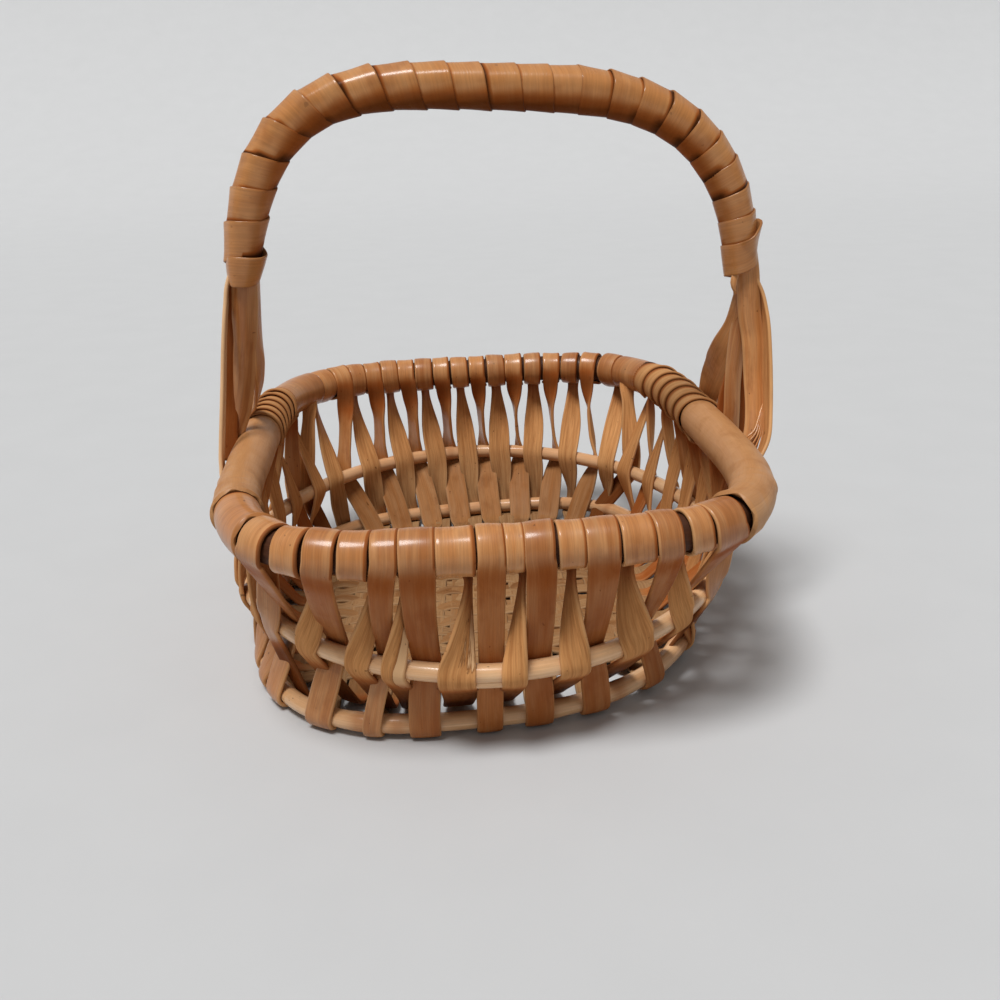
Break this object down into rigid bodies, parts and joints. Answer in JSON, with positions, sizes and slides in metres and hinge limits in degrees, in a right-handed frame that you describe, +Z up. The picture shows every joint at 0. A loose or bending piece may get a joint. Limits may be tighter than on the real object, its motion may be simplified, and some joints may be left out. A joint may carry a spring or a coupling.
{
  "type": "egg basket",
  "caption": "Small rounded-rectangle willow egg basket with a wrapped rim, open woven walls of flat strips and a fixed bound handle.",
  "frame": {"origin": "middle of the floor's underside, on the surface that the basket stands on", "axes": "+Z up, front towards -Y, the handle spans along X"},
  "size_m": [0.1151, 0.1386, 0.1179],
  "materials": {
    "strip": "satin varnish on flat willow strip",
    "rod": "satin varnish on peeled willow rod",
    "wrap": "satin varnish on wound willow strip",
    "core": "plain willow rod, mostly covered"
  },
  "bodies": {
    "root": {"rim_core": "core", "handle_core": "core", "middle_hoop": "rod", "base_hoop": "rod", "handle_wrap": "wrap", "left_rim_cover": "wrap", "left_rim_lashing": "wrap", "right_rim_cover": "wrap", "right_rim_lashing": "wrap", "lengthwise_strip_01": "strip", "lengthwise_strip_02": "strip", "lengthwise_strip_03": "strip", "lengthwise_strip_04": "strip", "lengthwise_strip_05": "strip", "lengthwise_strip_06": "strip", "lengthwise_strip_07": "strip", "lengthwise_strip_08": "strip", "lengthwise_strip_09": "strip", "lengthwise_strip_10": "strip", "lengthwise_strip_11": "strip", "lengthwise_strip_12": "strip", "lengthwise_strip_13": "strip", "lengthwise_strip_14": "strip", "lengthwise_strip_15": "strip", "lengthwise_strip_16": "strip", "lengthwise_strip_17": "strip", "crosswise_strip_01": "strip", "crosswise_strip_02": "strip", "crosswise_strip_03": "strip", "crosswise_strip_04": "strip", "crosswise_strip_05": "strip", "crosswise_strip_06": "strip", "crosswise_strip_07": "strip", "crosswise_strip_08": "strip", "crosswise_strip_09": "strip", "crosswise_strip_10": "strip", "crosswise_strip_11": "strip", "crosswise_strip_12": "strip", "crosswise_strip_13": "strip", "crosswise_strip_14": "strip", "crosswise_strip_15": "strip", "crosswise_strip_16": "strip", "crosswise_strip_17": "strip", "front_left_corner_strip": "strip", "front_right_corner_strip": "strip", "back_left_corner_strip": "strip", "back_right_corner_strip": "strip", "left_front_splint": "strip", "left_back_splint": "strip", "right_front_splint": "strip", "right_back_splint": "strip"}
  },
  "joints": []
}
